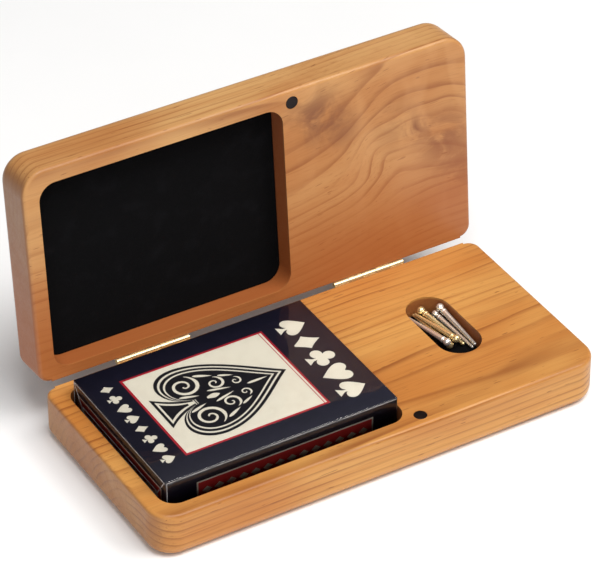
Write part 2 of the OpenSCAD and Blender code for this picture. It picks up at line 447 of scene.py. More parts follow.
@dataclass(frozen=True)
class Cherry:
    """Oiled cherry, patterned through the whole board so every face matches its neighbours.

    The board's own frame has X along the grain, Y across it and Z out of its mating face. The
    cell counts of a noise are per metre, in that order. A hollow is its two extreme corners.
    """

    name: str
    figure: Figure
    to_board: Matrix
    hollows: tuple
    pale: Colour = (0.64, 0.318, 0.086)
    warm: Colour = (0.50, 0.182, 0.036)
    line: Colour = (0.24, 0.064, 0.012)
    gum: Colour = (0.16, 0.045, 0.012)
    curl: Colour = (0.64, 0.335, 0.135)
    stained: Colour = (0.17, 0.054, 0.020)
    end_grain: Colour = (0.26, 0.112, 0.045)
    # painted shade: colour laid on the pocket walls for the shade inside the pockets
    pocket_shade_colour: Colour = (0.24, 0.056, 0.020)
    # painted shade: colour of the lid's wood near the hinge, where less light falls
    painted_hinge_shade: Colour = (0.38, 0.105, 0.026)
    ring_pitch: float = 2.9 * MM
    ring_depth: tuple = (0.08, 0.85)
    pith_depth: float = 42 * MM
    pith_side: float = 30 * MM
    end_share: float = 0.50
    fibre_cells: tuple = (40.0, 1500.0, 1500.0)
    streak_cells: tuple = (9.0, 190.0, 190.0)
    cloud_cells: tuple = (11.0, 26.0, 26.0)
    wander_cells: tuple = (11.0, 85.0, 85.0)
    fleck_cells: tuple = (170.0, 1500.0, 1500.0)

    def board_place(self, g: Graph) -> Socket:
        """The point in the board's frame: dot products with the matrix's rows, plus its shift."""
        here = g.place()
        rows = [self.to_board[i] for i in range(3)]
        return g.merge(*(g.plus(g.vector("DOT_PRODUCT", here, tuple(row[:3])), row[3])
                         for row in rows))

    def away(self, g: Graph, board: Socket, x: float, y: float, squash: float) -> Socket:
        """Distance from the point (x, y) of the mating face, with depth counted squash times."""
        return g.vector("LENGTH", g.mapped(board, move=(-x, -y, 0.0), scale=(1.0, 1.0, squash)))

    def warped(self, g: Graph, board: Socket) -> Socket:
        """The board's place pushed sideways by long slow noise, and by a swirl in curly stock."""
        push = g.plus(g.sway(board, (5.0, 19.0, 19.0), 2.0, 12 * MM),
                      g.sway(board, (22.0, 90.0, 90.0), 1.0, 1.6 * MM))
        x, y, z = g.split(board)
        if self.figure is Figure.CURLY:
            climb = g.times(g.span(x, 0.0, 84 * MM), 9 * MM)
            knot = g.span(self.away(g, board, 0.064, -0.008, 0.4), 0.036, 0.004)
            swirl = g.grain(board, (30.0, 26.0, 20.0), 1.0, 0.5, 0.5)
            bend = g.times(knot, g.times(swirl, 9 * MM))
            push = g.plus(push, g.plus(climb, bend))
        return g.merge(x, g.plus(y, push), g.plus(z, g.times(push, 0.6)))

    def rings(self, g: Graph, warped: Socket) -> Socket:
        """Year rings about a pith below the board: 0 in early wood, rising to 1 at each end."""
        _, y, z = g.split(warped)
        flat = g.merge(0.0, g.plus(y, self.pith_side), g.plus(z, self.pith_depth))
        phase = g.calc("FRACT", g.calc("DIVIDE", g.vector("LENGTH", flat), self.ring_pitch))
        late_wood = g.calc("POWER", g.span(phase, 0.30, 0.94), 3.2)
        return g.times(late_wood, g.span(phase, 1.0, 0.93))

    def material(self) -> Material:
        """Builds the wood's material.

        Returns:
            The material: ring lines, fibres, gum flecks, blotches, end grain, painted shade and
                satin oil.
        """
        g = Graph(self.name)
        board = self.board_place(g)
        warped = self.warped(g, board)
        ring = self.rings(g, warped)
        fibre = g.grain(warped, self.fibre_cells, 3.0, 0.6)
        streak = g.grain(warped, self.streak_cells, 2.0, 0.55)
        cloud = g.grain(warped, self.cloud_cells, 3.0)
        wander = g.span(g.grain(warped, self.wander_cells), 0.34, 0.70, *self.ring_depth)
        flecks = g.grain(warped, self.fleck_cells, 0.0, move=(3.1, 1.7, 0.4))
        tone = g.mix(g.span(cloud, 0.32, 0.70), self.pale, self.warm)
        tone = g.tint(tone, self.warm, 0.42, streak, 0.42, 0.75)
        tone = g.mix(g.times(ring, wander), tone, self.line)
        tone = g.tint(tone, self.line, 0.34, fibre, 0.46, 0.80)
        tone = g.tint(tone, self.gum, 0.55, flecks, 0.775, 0.83)
        if self.figure is Figure.CURLY:
            tone = self.figured(g, board, tone)
        tone = self.end_grain_and_painted_shade(g, board, tone)
        height = g.plus(g.times(fibre, 0.7), g.times(ring, 0.5))
        pores = g.plus(g.times(streak, 0.5), g.times(fibre, 0.5))
        return g.coat(tone, g.span(pores, 0.3, 0.75, 0.34, 0.50), g.bump(height, 0.22, 0.10 * MM),
                      Coat_Weight=0.10, Coat_Roughness=0.26, Specular_IOR_Level=0.32)

    def figured(self, g: Graph, board: Socket, tone: Socket) -> Socket:
        """Adds the curly area's cross-bands, its small knots and dark stains."""
        cross = g.grain(board, (62.0, 24.0, 30.0), 2.0, 0.5, 0.8, turn=(0, 0, 0.6))
        x, _, _ = g.split(board)
        bands = g.times(g.span(x, 0.006, 0.036), g.span(cross, 0.42, 0.66))
        tone = g.mix(g.times(bands, 0.30), tone, self.curl)
        blotch = g.grain(board, (60.0, 75.0, 60.0), 4.0, 0.62, 0.8)
        for stain in STAINS:
            near = g.span(self.away(g, board, stain.x, stain.y, 0.5), stain.reach, 0.0)
            spot = g.times(near, g.span(blotch, 0.34, 0.60))
            tone = g.mix(g.times(spot, stain.depth), tone, self.stained)
        return tone

    def end_grain_and_painted_shade(self, g: Graph, board: Socket, tone: Socket) -> Socket:
        """Darkens end grain; paints shade on the pocket walls and towards the lid's hinge."""
        along, _, _ = g.split(g.facing())
        tone = g.tint(tone, self.end_grain, self.end_share, g.calc("ABSOLUTE", along), 0.55, 0.95)
        x, y, z = g.split(board)
        # painted shade: the pocket walls below the rim are darkened where shade falls in the
        # pockets
        painted_wall_shade = 0.0
        soft, reach = 0.2 * MM, 0.8 * MM
        for low, high in self.hollows:
            inside = g.times(g.span(z, -0.3 * MM, -1.2 * MM),
                             g.span(z, low[2] - reach, low[2] - soft))
            for part, start, end in ((x, low[0], high[0]), (y, low[1], high[1])):
                inside = g.times(inside, g.span(part, start - reach, start - soft))
                inside = g.times(inside, g.span(part, end + reach, end + soft))
            painted_wall_shade = g.calc("MAXIMUM", painted_wall_shade, inside)
        tone = g.mix(g.times(painted_wall_shade, 0.70), tone, self.pocket_shade_colour)
        if self.figure is Figure.CURLY:
            # painted shade: the lid's wood turns darker and redder towards the hinge, where less
            # light falls
            tone = g.tint(tone, self.painted_hinge_shade, 0.75, y, -0.034, 0.040)
        return tone


@dataclass(frozen=True)
class Metal:
    """A polished or plated metal with fine turning or drawing marks."""

    name: str
    colour: Colour
    shade: Colour
    roughness: float
    metallic: float = 1.0
    wear: float = 0.12
    marks: tuple = (2600.0, 2600.0, 2600.0)

    def material(self) -> Material:
        """Builds the metal: wear sets the marks in its gloss and height, and its tarnish."""
        g = Graph(self.name)
        here = g.place()
        mark = g.grain(here, self.marks)
        tarnish = g.noise(here, 420.0, 3.0, 0.6)
        tone = g.tint(self.colour, self.shade, 4 * self.wear, tarnish, 0.42, 0.74)
        rough = g.span(mark, 0.3, 0.75, self.roughness, self.roughness + self.wear)
        return g.coat(tone, rough, g.bump(mark, self.wear, 0.02 * MM), Metallic=self.metallic)


@dataclass(frozen=True)
class Felt:
    """Short black wool felt: tangled fibres, lint and a faint sheen."""

    name: str = "black_felt"
    colour: Colour = (0.0030, 0.0030, 0.0034)
    lint: Colour = (0.0095, 0.0095, 0.0110)
    worn: Colour = (0.010, 0.010, 0.012)

    def material(self) -> Material:
        """Builds the felt from two scales of tangled noise."""
        g = Graph(self.name)
        here = g.place()
        tangle = g.noise(here, 2100.0, 4.0, 0.65, 1.4)
        patch = g.noise(here, 130.0, 2.0)
        tone = g.tint(self.colour, self.lint, 0.6, tangle, 0.48, 0.80)
        tone = g.tint(tone, self.worn, 0.25, patch, 0.5, 0.8)
        return g.coat(tone, g.span(tangle, 0.2, 0.8, 0.88, 1.0), g.bump(tangle, 0.6, 0.25 * MM),
                      Sheen_Weight=0.008, Sheen_Roughness=0.6, Specular_IOR_Level=0.04)


@dataclass(frozen=True)
class Ink:
    """Printed and varnished board: a base colour, fine paper tooth and slight ink mottle."""

    name: str
    colour: Colour
    mottle: Colour
    roughness: float = 0.42

    def material(self) -> Material:
        """Builds the ink with its mottle, tooth and uneven varnish."""
        g = Graph(self.name)
        here = g.place()
        tooth = g.noise(here, 3200.0, 3.0, 0.6)
        patch = g.noise(here, 260.0, 3.0, 0.55)
        tone = g.tint(self.colour, self.mottle, 0.5, patch, 0.4, 0.75)
        rough = g.span(tooth, 0.3, 0.8, self.roughness - 0.05, self.roughness + 0.10)
        return g.coat(tone, rough, g.bump(tooth, 0.10, 0.03 * MM))


@dataclass(frozen=True)
class ClearFilm:
    """Clear overwrap: see-through, with gloss that follows its own small ripples.

    Where it is creased, and on strips that are painted edge highlights, the haze scatters some of
    the light.
    """

    name: str = "clear_overwrap"
    haze: float = 0.0
    gloss: float = 0.07
    clearest: Colour = (0.955, 0.96, 0.965)
    crease_and_highlight: Colour = (0.90, 0.86, 0.86)

    def material(self) -> Material:
        """Builds the film as a see-through layer with a glossy share by viewing slope."""
        g = Graph(self.name)
        here = g.place()
        ripple = g.grain(here, (70.0, 150.0, 120.0), 2.0, 0.5, 0.6)
        normal = g.bump(ripple, 0.22, 0.7 * MM)
        clear = {"Color": (*self.clearest, 1.0)}
        through = g.node("ShaderNodeBsdfTransparent", clear).outputs[0]
        gloss = {"Roughness": self.gloss, "Normal": normal}
        mirror = g.node("ShaderNodeBsdfAnisotropic", gloss).outputs[0]
        share = g.node("ShaderNodeFresnel", {"IOR": 1.5, "Normal": normal}).outputs[0]
        both = g.node("ShaderNodeMixShader", {0: share, 1: through, 2: mirror}).outputs[0]
        if self.haze > 0:
            # pinkish-white diffuse share: whitening in the fold creases, and painted highlights on
            # the edge strips
            white = g.node("ShaderNodeBsdfDiffuse", {"Color": (*self.crease_and_highlight, 1.0)}).outputs[0]
            patchy = g.span(g.noise(here, 340.0, 2.0), 0.30, 0.70, 0.4 * self.haze, self.haze)
            both = g.node("ShaderNodeMixShader", {0: patchy, 1: both, 2: white}).outputs[0]
        g.tree.links.new(both, g.output.inputs[0])
        return g.material


# ---------------- the wooden case


def closing_turn() -> Matrix:
    """The turn that shuts the lid, from the hinge joint's own place, axis and range."""
    joint = next(j for j in frame["joints"] if j["name"] == "lid_hinge")
    angle = math.radians(joint["range_deg"][0])
    pin = Matrix.Translation(Vector(joint["pos_m"]))
    return pin @ Matrix.Rotation(angle, 4, Vector(joint["axis"])) @ pin.inverted()


@dataclass
class WoodenCase:
    """The two cherry blocks. Each board's frame has its mating face at height 0."""

    def hollow(self, lining: str, to_board: Matrix) -> tuple[tuple, tuple]:
        """The least and greatest corner of a lining in its board's frame."""
        local = place(node_points(lining), to_board)
        return tuple(local.min(axis=0).tolist()), tuple(local.max(axis=0).tolist())

    def dress(self) -> None:
        """Gives both blocks their wood, cut from two different boards."""
        base_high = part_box("base_block")[1]
        base_frame = Matrix.Translation((0, 0, -base_high.z))
        hollows = tuple(self.hollow(lining, base_frame)
                        for lining in ("base_card_felt", "peg_slot_felt"))
        base = Cherry("cherry_plain", Figure.PLAIN, base_frame, hollows)
        shut = closing_turn()
        flip = Matrix.Diagonal((1, 1, -1, 1))
        lid_frame = flip @ Matrix.Translation((0, 0, -base_high.z)) @ shut
        lid = Cherry("cherry_figured", Figure.CURLY, lid_frame,
                     (self.hollow("lid_card_felt", lid_frame),), pale=(0.62, 0.345, 0.130),
                     warm=(0.45, 0.180, 0.050), ring_depth=(0.10, 0.70), end_share=0.85)
        for node, board in (("base_block", base), ("lid_block", lid)):
            paint_node(node, board.material())


@dataclass
class FeltLining:
    """A felt sheet glued into a pocket, with a soft uneven nap and a rolled edge.

    The surface is a disc of rings: ring k is the lining's outline shrunk towards its middle,
    and its height falls off as a quarter circle over the last part of the way to the edge.
    """

    node: str
    body: str
    to_board: Matrix
    up: float
    thickness: float = 1.0 * MM
    corner: float = 6.4 * MM
    roll: float = 0.45 * MM
    unevenness: float = 0.07 * MM
    inset: float = 0.3 * MM
    fade: float = 4 * MM
    corner_steps: int = 14

    def build(self, material: Material) -> Piece:
        """Builds the lining in the board's frame and turns it back to where it lies.

        Args:
            material: the felt.

        Returns:
            The piece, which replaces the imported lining.
        """
        local = place(node_points(self.node), self.to_board)
        low, high = local.min(axis=0), local.max(axis=0)
        size = (high - low)[:2]
        middle = (low + high) / 2
        corner = min(self.corner, size.min() / 2 - 0.01 * MM)
        outline = round_rectangle(*size, corner, self.corner_steps)
        shares = np.concatenate([np.linspace(0.04, 0.96, 46), np.linspace(0.97, 1.0, 7)])
        rings = outline[None] * shares[:, None, None]
        gap = (size.min() / 2 - self.inset) * (1 - shares)
        top = np.dstack([rings, self.heights(rings, gap)]).reshape(-1, 3)
        n = len(outline)
        foot = np.column_stack([outline, np.zeros(n)])
        poles = np.array([[0, 0, self.thickness - self.unevenness / 2], [0, 0, 0]])
        points = np.vstack([top, foot, poles])
        rim, edge, pole = len(top) - n, len(top), len(top) + n
        first = np.arange(n)
        after = (first + 1) % n
        faces = grid_faces(len(shares), n, wrap=True)[:, ::-1].tolist()
        faces += ring_faces(first, after, pole)
        faces += ring_faces(edge + first, edge + after, rim + after, rim + first)
        faces += ring_faces(edge + after, edge + first, pole + 1)
        base = low[2] if self.up > 0 else high[2]
        points = points * [1, 1, self.up] + [middle[0], middle[1], base]
        points = place(points, self.to_board.inverted())
        piece = new_piece(f"{self.node}_nap", points, faces)
        return finish_piece(outward(piece), self.body, material, (self.node,))

    def heights(self, rings: Array, gap: Array) -> Array:
        """Height of every point of the rings over the lining's foot.

        Args:
            rings: the rings' points about the lining's middle.
            gap: each ring's distance from the edge.

        Returns:
            Thickness, less the nap's dips, which fade out near the edge, and less the roll:
            roll (1 - sqrt(1 - (1 - gap / roll)^2)).
        """
        inward = 1 - np.clip(gap / self.roll, 0, 1)
        fall = self.roll * (1 - np.sqrt(np.clip(1 - inward ** 2, 0, 1)))
        x, y = rings[..., 0] / MM, rings[..., 1] / MM
        nap = (np.sin(0.9 * x + 1.3 * np.sin(0.31 * y)) * np.sin(1.1 * y + 0.8 * np.sin(0.47 * x))
               + 0.6 * np.sin(2.3 * x + 1.9 * y))
        fade = np.clip(gap / self.fade, 0, 1)[:, None]
        return self.thickness - self.unevenness * (1 + nap / 1.6) / 2 * fade - fall[:, None]


@dataclass
class MagnetDisc:
    """A round magnet with a small chamfer and a face dished by the press."""

    node: str
    body: str
    chamfer: float = 0.22 * MM
    dish: float = 0.05 * MM
    sides: int = 48

    def build(self, material: Material) -> Piece:
        """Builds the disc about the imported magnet's own axis.

        The axis is the principal direction whose extent differs from the other two's.
        """
        points = node_points(self.node)
        middle, axes = main_axes(points)
        along = points - middle
        spans = [np.ptp(along @ axis) for axis in axes]
        pair = min(((0, 1), (0, 2), (1, 2)), key=lambda p: abs(spans[p[0]] - spans[p[1]]))
        axis = Vector(axes[({0, 1, 2} - set(pair)).pop()])
        heights = along @ np.array(axis)
        low, high = heights.min(), heights.max()
        radius = np.linalg.norm(along - np.outer(heights, axis), axis=1).max()
        c, dish, shoulder = self.chamfer, self.dish, 0.7 * radius
        profile = np.array([[0, low + dish], [shoulder, low + dish / 2], [radius - c, low],
                            [radius, low + c], [radius, high - c], [radius - c, high],
                            [shoulder, high - dish / 2], [0, high - dish]])
        disc, faces = lathe(profile, self.sides)
        turned = place(disc, standing(Vector(middle), axis))
        piece = new_piece(f"{self.node}_disc", turned, faces, smooth=False)
        return finish_piece(outward(piece), self.body, material, (self.node,))


@dataclass
class StopHinges:
    """Both hinges: leaves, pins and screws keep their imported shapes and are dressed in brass."""

    sides: tuple = ("left", "right")

    def dress(self, plate: Material, pin: Material) -> None:
        """Dresses the leaves in one brass, and the pins and screws in a duller one."""
        for side in self.sides:
            paint_node(f"{side}_hinge_base_leaf", plate)
            paint_node(f"{side}_hinge_lid_leaf", plate)
            paint_node(f"{side}_hinge_pin", pin)
        paint_node("base_hinge_screws", pin)
        paint_node("lid_hinge_screws", pin)


# ---------------- the deck


def spade_half() -> Array:
    """Half a spade, tip towards +X, from tip round the lobe to the stem's root, in millimetres."""
    return np.vstack([
        bezier([(31.0, 0.0), (21.0, 7.2), (10.0, 19.6), (-3.5, 20.2)], 26),
        bezier([(-3.5, 20.2), (-11.0, 20.4), (-15.2, 15.6), (-14.6, 10.4)], 18),
        bezier([(-14.6, 10.4), (-14.0, 5.0), (-9.6, 1.8), (-5.4, 1.5)], 14),
    ])


def stem_half() -> Array:
    """Half of the spade's flared stem, from its root to its foot, in millimetres."""
    foot = (-19.0, 8.9)
    return np.vstack([bezier([(-3.0, 0.9), (-9.0, 1.6), (-15.0, 5.2), foot], 12), [foot]])


def mirrored(half: Array) -> Array:
    """A half outline with its mirror image across X."""
    back = half[::-1] * [1, -1]
    if abs(half[0, 1]) < 1e-9:
        back = back[:-1]
    return np.vstack([half, back])


def shrunk(outline: Array, x: float, share: float) -> Array:
    """The outline scaled about the point (x, 0)."""
    return (outline - [x, 0]) * share + [x, 0]


def rectangle(x0: float, y0: float, x1: float, y1: float) -> Array:
    """A rectangle's outline."""
    return np.array([(x0, y0), (x1, y0), (x1, y1), (x0, y1)], float)


def leftward(along: Array, width: float) -> Array:
    """A step of that width to the left of a direction."""
    return np.array([-along[1], along[0]]) / np.linalg.norm(along) * width


def band(start: Array, end: Array, width: float) -> Array:
    """The outline of a straight band from start to end, with all its width on its left."""
    side = leftward(end - start, width)
    return np.array([start, end, end + side, start + side])


def scroll(centre: tuple, radius: float, turns: float, start: float, width: float,
           hand: int = 1) -> Array:
    """A tapering scroll stroke.

    Args:
        centre: the eye of the scroll.
        radius: distance of its outer end from the eye.
        turns: how many times it winds.
        start: direction of its outer end, in degrees.
        width: stroke width at the outer end.
        hand: 1 or -1, the way it winds.

    Returns:
        The stroke's outline. The path is r = radius (1 - t)^0.8 + 6 % at angle start +
        360 turns t, and the stroke narrows to a third and ends in a round drop.
    """
    t = np.linspace(0, 1, 40)
    r = radius * (0.94 * (1 - t) ** 0.8 + 0.06)
    a = np.radians(start) + hand * 2 * np.pi * turns * t
    path = np.stack([centre[0] + r * np.cos(a), centre[1] + r * np.sin(a)], axis=1)
    run = np.gradient(path, axis=0)
    side = np.stack([-run[:, 1], run[:, 0]], axis=1) / np.linalg.norm(run, axis=1, keepdims=True)
    half = (width / 2 * (1 - 0.62 * t) * np.minimum(1, 8 * t + 0.15))[:, None]
    return np.vstack([path + side * half, (path - side * half)[::-1]])


def leaf_shape(root: tuple, tip: tuple, width: float) -> Array:
    """A pointed leaf from root to tip, widest a third of the way along."""
    root, tip = np.asarray(root, float), np.asarray(tip, float)
    along = tip - root
    side = leftward(along, width)
    near, far = root + along * 0.1, root + along * 0.6
    left = bezier([root, near + side, far + side * 0.7, tip], 12)
    right = bezier([tip, far - side * 0.7, near - side, root], 12)
    return np.vstack([left, right])


class Pip(Enum):
    """The four suit signs."""

    SPADE = "spade"
    HEART = "heart"
    CLUB = "club"
    DIAMOND = "diamond"


def pip_outlines(pip: Pip) -> list:
    """The outlines of a plain suit sign of height 1, standing along +X, as overlapping shapes."""
    if pip is Pip.DIAMOND:
        side = bezier([(0.5, 0.0), (0.30, 0.10), (0.10, 0.24), (0.0, 0.36)], 8)
        back = bezier([(0.0, 0.36), (-0.10, 0.24), (-0.30, 0.10), (-0.5, 0.0)], 8)
        return [mirrored(np.vstack([side, back]))]
    if pip is Pip.HEART:
        side = np.vstack([bezier([(-0.5, 0.0), (-0.3, 0.14), (0.0, 0.46), (0.24, 0.44)], 12),
                          bezier([(0.24, 0.44), (0.50, 0.42), (0.56, 0.08), (0.26, 0.0)], 12)])
        return [mirrored(side)]
    stem = mirrored(np.array([(-0.05, 0.035), (-0.30, 0.06), (-0.5, 0.20)]))
    if pip is Pip.CLUB:
        lobes = [arc(c, 0.205, 0, 345, 24) for c in ((0.28, 0.0), (-0.06, 0.225), (-0.06, -0.225))]
        return [*lobes, arc((0.05, 0.0), 0.19, 0, 345, 16), stem]
    side = np.vstack([bezier([(0.5, 0.0), (0.34, 0.14), (0.10, 0.42), (-0.10, 0.42)], 12),
                      bezier([(-0.10, 0.42), (-0.36, 0.40), (-0.34, 0.05), (-0.10, 0.03)], 12)])
    return [mirrored(side), stem]


def pip_row(row: list, centre: tuple, step: float, height: float) -> list:
    """Outlines of a row of suit signs, each scaled to a height and set a step along Y."""
    shapes = []
    for i, pip in enumerate(row):
        at = np.array(centre) + [0, step * (i - (len(row) - 1) / 2)]
        shapes += [outline * height + at for outline in pip_outlines(pip)]
    return shapes


def spade_ornament() -> tuple[list, list]:
    """The big spade about its middle: black shapes, then cream shapes, each with its layer."""
    spade, stem = mirrored(spade_half()), mirrored(stem_half())
    black = [(spade, 4), (stem, 4), (shrunk(spade, 1.5, 0.895), 6), (shrunk(spade, 1.5, 0.80), 8),
             (shrunk(stem, -14.8, 0.56), 6)]
    cream = [(shrunk(spade, 1.5, 0.935), 5), (shrunk(spade, 1.5, 0.835), 7),
             (shrunk(stem, -14.5, 0.76), 5)]
    shapes = []
    for s in (1, -1):
        shapes += [scroll((-4.8, s * 9.6), 5.6, 1.55, s * 62, 1.5, -s),
                   scroll((5.6, s * 6.0), 3.5, 1.3, s * 75, 1.1, -s),
                   scroll((12.6, s * 3.6), 2.2, 1.15, s * 80, 0.8, -s),
                   leaf_shape((-9.4, s * 4.6), (-2.4, s * 2.4), 0.9),
                   leaf_shape((0.6, s * 13.2), (6.8, s * 10.2), 1.0),
                   leaf_shape((8.4, s * 9.2), (13.4, s * 6.8), 0.8),
                   leaf_shape((1.0, s * 3.4), (9.4, s * 1.2), 0.8)]
    shapes.append(mirrored(bezier([(4.4, 0.0), (2.6, 1.6), (1.6, 1.6), (-1.6, 0.0)], 10)))
    shapes.append(leaf_shape((15.2, 0), (23.4, 0), 0.9))
    return black, cream + [(shape, 9) for shape in shapes]


class Side(Enum):
    """A side face of a box, by the way it looks."""

    FRONT = (0, -1)
    BACK = (0, 1)
    LEFT = (-1, 0)
    RIGHT = (1, 0)


@dataclass
class Deck:
    """A tuck box of cards in its clear wrap.

    Print is laid on in millimetres from the box's front left corner of each face, and is a few
    hundredths thick at most, so it stays under the film.
    """

    navy: Material
    cream: Material
    red: Material
    black: Material
    # painted light: the red ink made brighter for the side labels, which lie in the pocket's shade
    label: Material
    board: Material
    film: Material
    # finish of the fold creases and of the painted highlight strips along the wrap's edges
    crease_and_highlight: Material
    print_step: float = 0.006 * MM
    sink: float = 0.05 * MM
    board_edge: float = 0.35 * MM
    film_edge: float = 0.5 * MM
    panel: tuple = (14.1, 10.3, 69.6, 56.1)
    border: tuple = (13.2, 9.4, 70.4, 57.0)
    rule: tuple = (68.5, 10.3, 68.8, 56.1)
    spade_middle: tuple = (35.8, 33.4)

    def __post_init__(self) -> None:
        """Reads the box's place from the frame."""
        self.low, self.high = (np.array(p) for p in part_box("card_carton"))
        self.size = self.high - self.low

    def rounded_box(self, name: str, low: Array, high: Array, edge: float) -> Piece:
        """A box whose edges are rounded.

        Each point d of the surface grid of a cube from -1 to 1 is taken to the box as: half the
        inner box times 1.6 d, clamped to 1, plus the edge radius times the unit vector of d^5.

        Args:
            name: the object's name.
            low: least corner.
            high: greatest corner.
            edge: edge radius.

        Returns:
            The closed box; points that two sides share are merged.
        """
        t = np.sin(np.linspace(-np.pi / 2, np.pi / 2, 9))
        a, b = np.meshgrid(t, t, indexing="ij")
        one = np.ones_like(a)
        sides = [(one, a, b), (-one, b, a), (b, one, a), (a, -one, b), (a, b, one), (b, a, -one)]
        parts = []
        for side in sides:
            d = np.stack(side, axis=-1).reshape(-1, 3)
            inner = np.clip(d * 1.6, -1, 1) * ((high - low) / 2 - edge)
            outer = d ** 5 / np.linalg.norm(d ** 5, axis=1, keepdims=True) * edge
            faces = grid_faces(len(t), len(t), wrap=False).tolist()
            parts.append((inner + outer + (low + high) / 2, faces))
        points, faces = joined(parts)
        keys = np.round(points / (0.002 * MM)).astype(np.int64)
        _, first, back = np.unique(keys, axis=0, return_index=True, return_inverse=True)
        faces = back.ravel()[np.array(faces)].tolist()
        return outward(new_piece(name, points[first], [f for f in faces if len(set(f)) == 4]))

    def on_top(self, outline: Array, layer: float) -> tuple[Array, list]:
        """A print shape on the top face; outline in millimetres from the front left corner."""
        flat = outline * MM + self.low[:2]
        top = self.high[2]
        return slab(flat, top - self.sink, top + layer * self.print_step)

    def on_side(self, outline: Array, layer: float, side: Side,
                box: Optional[tuple] = None) -> tuple[Array, list]:
        """A thin shape on a side face.

        Args:
            outline: millimetres along the face from its left edge, and up from its bottom.
            layer: which layer it is, counted outwards.
            side: the face.
            box: least and greatest corner of the box it lies on, if not the carton's.

        Returns:
            The points and faces.
        """
        low, high = box or (self.low, self.high)
        x, y = side.value
        points, faces = slab(outline * MM, -self.sink, layer * self.print_step)
        rows = np.array([(-y, x, 0), (0, 0, 1), (x, y, 0)], float)
        start = np.where(rows[2] > rows[0], high, low)
        start[2] = low[2]
        return points @ rows + start, faces

    def print_top(self) -> tuple[list, list, list]:
        """Panel, double border, ornament and suit rows on the top face: cream, red and black."""
        black_shapes, cream_shapes = spade_ornament()
        cream = [self.on_top(rectangle(*self.panel), 3)]
        cream += [self.on_top(shape + self.spade_middle, layer) for shape, layer in cream_shapes]
        red = [self.on_top(rectangle(*self.border), 2), self.on_top(rectangle(*self.rule), 4)]
        black = [self.on_top(shape + self.spade_middle, layer) for shape, layer in black_shapes]
        rows = pip_row([*Pip, Pip.SPADE], (80.8, 33.0), 10.3, 11.0)
        rows += pip_row([*Pip] * 2, (7.2, 33.0), 6.3, 5.4)
        cream += [self.on_top(outline, 1.5 + 0.3 * (i % 5)) for i, outline in enumerate(rows)]
        return cream, red, black

    def print_sides(self) -> tuple[list, list]:
        """A label with a pale edge and a row of lozenges on each side face: cream and red."""
        cream, red = [], []
        _, width, height = self.size / MM
        low, high, edge, pitch = 2.6, height - 4.6, 0.6, 5
        lozenge = np.array([(2.0, 0), (0, 1.5), (-2.0, 0), (0, -1.5)])
        for side, start, end in ((Side.FRONT, 12.0, 82.0), (Side.BACK, 10.0, 80.0),
                                 (Side.LEFT, 3.0, width - 3.0), (Side.RIGHT, 8.0, width - 8.0)):
            cream.append(self.on_side(rectangle(start, low, end, high), 1, side))
            inner = rectangle(start + edge, low + edge, end - edge, high - edge)
            red.append(self.on_side(inner, 2, side))
            for x in np.linspace(start + 4, end - 4, int((end - start) // pitch)):
                cream.append(self.on_side(lozenge + [x, (low + high) / 2 + 0.6], 3, side))
        return cream, red

    def build_box(self) -> None:
        """Builds the tuck box, everything printed on it and the cards' finish."""
        box = self.rounded_box("tuck_box", self.low, self.high, self.board_edge)
        finish_piece(box, "deck", self.navy, ("card_carton",))
        cream, red, black = self.print_top()
        side_cream, brightened_side_red = self.print_sides()
        # painted light: the side labels' red is the brightened copy of the red ink
        for name, parts, material in (("print_cream", cream + side_cream, self.cream),
                                      ("print_red", red, self.red),
                                      ("side_labels", brightened_side_red, self.label),
                                      ("print_black", black, self.black)):
            piece = new_piece(name, *joined(parts), smooth=False)
            finish_piece(piece, "deck", material)
        paint_node("card_stack", self.board)

    def build_film(self) -> None:
        """Builds the wrap: a box a hair outside the carton, its end folds' creases and painted edge
        highlights.
        """
        low, high = (np.array(p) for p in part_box("cellophane_wrap"))
        piece = self.rounded_box("clear_wrap", low, high, self.film_edge)
        finish_piece(piece, "deck", self.film, ("cellophane_wrap",))
        length, width, height = (high - low) / MM
        edge, slope, lap = 0.8, 7.0, 0.56 * height
        lower = np.array([(edge, edge), (slope, lap), (width - slope, lap), (width - edge, edge)])
        upper = [0, height] + lower * [1, -1]
        shapes = [(band(start, end, 0.25), side) for side in (Side.LEFT, Side.RIGHT)
                  for flap in (lower, upper) for start, end in zip(flap[:-1], flap[1:])]
        # painted highlights: white strips along the top edge and the left upright edge of each side
        near, far = 0.5, 0.72
        for side, reach in ((Side.LEFT, width), (Side.RIGHT, width), (Side.FRONT, length),
                            (Side.BACK, length)):
            shapes += [(rectangle(near, height - far, reach - near, height - near), side),
                       (rectangle(near, near, far, height - near), side)]
        folds = joined([self.on_side(shape, 4, side, (low, high)) for shape, side in shapes])
        finish_piece(new_piece("clear_wrap_folds_and_highlights", *folds, smooth=False), "deck",
                     self.crease_and_highlight)

    def build(self) -> None:
        """Builds the whole deck."""
        self.build_box()
        self.build_film()


# ---------------- the pegs


